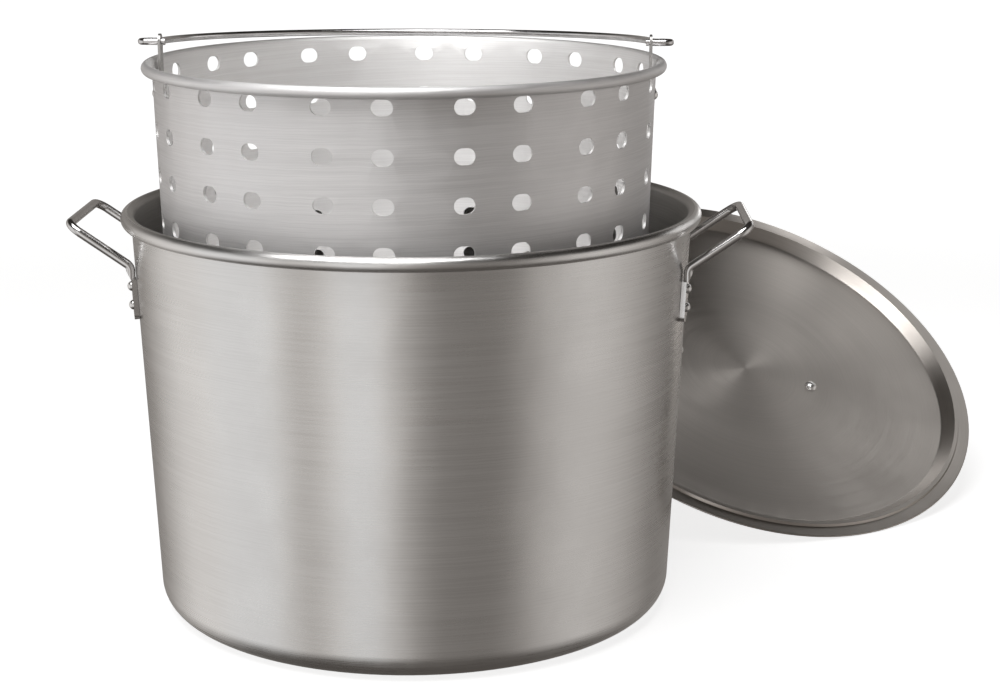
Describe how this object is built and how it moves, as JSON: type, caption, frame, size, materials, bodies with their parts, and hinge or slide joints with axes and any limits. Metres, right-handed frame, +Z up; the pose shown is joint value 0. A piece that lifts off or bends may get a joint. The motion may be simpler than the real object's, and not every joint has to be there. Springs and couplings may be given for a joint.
{
  "type": "brew kettle",
  "caption": "Wide stockpot kettle with wire side handles, a perforated strainer basket with a swinging bail raised in its mouth, and a loose round lid.",
  "frame": {"origin": "centre of the kettle's flat base, on the floor", "axes": "+Z up, +X towards the right handle, -Y towards the front"},
  "size_m": [0.9991, 0.9478, 0.5825],
  "materials": {
    "kettle_aluminium": "brushed round the wall, satin",
    "basket_aluminium": "brushed round the wall, satin",
    "ear_aluminium": "satin",
    "lid_aluminium": "lathe brushed, satin",
    "handle_wire": "bright plated",
    "bail_wire": "bright plated",
    "lid_handle_wire": "bright plated",
    "rivet_metal": "smooth",
    "ear_rivet_metal": "smooth",
    "lid_rivet_metal": "smooth"
  },
  "bodies": {
    "kettle": {"kettle_shell": "kettle_aluminium", "kettle_handle_left": "handle_wire", "kettle_handle_right": "handle_wire", "rivet_left_front_top": "rivet_metal", "rivet_left_front_low": "rivet_metal", "rivet_left_rear_top": "rivet_metal", "rivet_left_rear_low": "rivet_metal", "rivet_right_front_top": "rivet_metal", "rivet_right_front_low": "rivet_metal", "rivet_right_rear_top": "rivet_metal", "rivet_right_rear_low": "rivet_metal"},
    "basket": {"basket_shell": "basket_aluminium", "basket_ear_left": "ear_aluminium", "basket_ear_right": "ear_aluminium", "ear_rivet_left_front": "ear_rivet_metal", "ear_rivet_left_rear": "ear_rivet_metal", "ear_rivet_right_front": "ear_rivet_metal", "ear_rivet_right_rear": "ear_rivet_metal"},
    "bail": {"basket_bail": "bail_wire"},
    "lid": {"lid_shell": "lid_aluminium", "lid_handle": "lid_handle_wire", "lid_rivet_near": "lid_rivet_metal", "lid_rivet_far": "lid_rivet_metal"}
  },
  "joints": [
    {"name": "basket_lift", "type": "slide", "parent": "kettle", "child": "basket", "axis": [0, 0, 1], "range_m": [-0.1945, 0.24]},
    {"name": "bail_swing", "type": "hinge", "parent": "basket", "child": "bail", "pos_m": [-0.006, 0, 0.5745], "axis": [1, 0, 0], "range_deg": [0, 185.3]},
    {"name": "lid_lift", "type": "slide", "parent": "kettle", "child": "lid", "axis": [0.1038, 0.1083, 0.9887], "range_m": [0, 0.45]}
  ]
}
